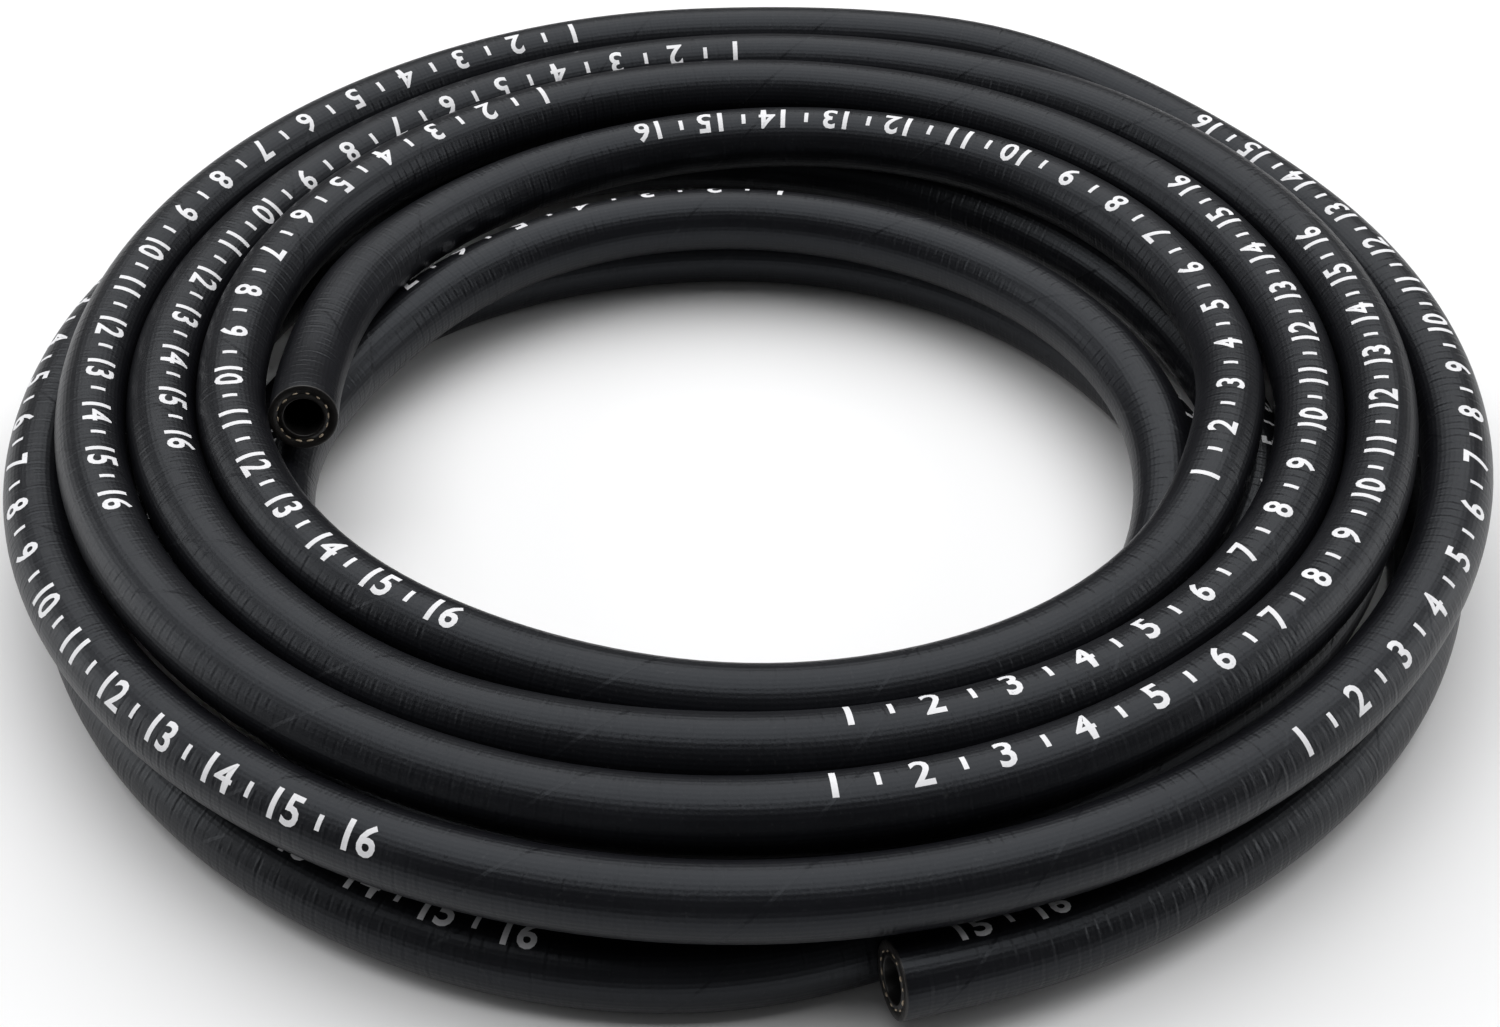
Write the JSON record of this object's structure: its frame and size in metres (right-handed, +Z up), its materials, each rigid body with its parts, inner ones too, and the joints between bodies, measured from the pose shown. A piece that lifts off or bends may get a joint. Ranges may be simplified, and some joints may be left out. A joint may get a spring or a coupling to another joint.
{
  "type": "fuel hose",
  "caption": "Length of black rubber fuel hose wound into a flat open coil, with both cut ends free and their bores open.",
  "frame": {"origin": "on the floor under the middle of the coil's box", "axes": "+Z up, along the coil's axis; +X to the right and +Y away in the picture, so the outer cut end lies at -Y"},
  "size_m": [0.3596, 0.3534, 0.0455],
  "materials": {
    "hose_rubber": "matt black synthetic rubber cover, finely ribbed across by its curing wrap, with a white printed lay line"
  },
  "bodies": {
    "root": {"fuel_hose": "hose_rubber"}
  },
  "joints": []
}
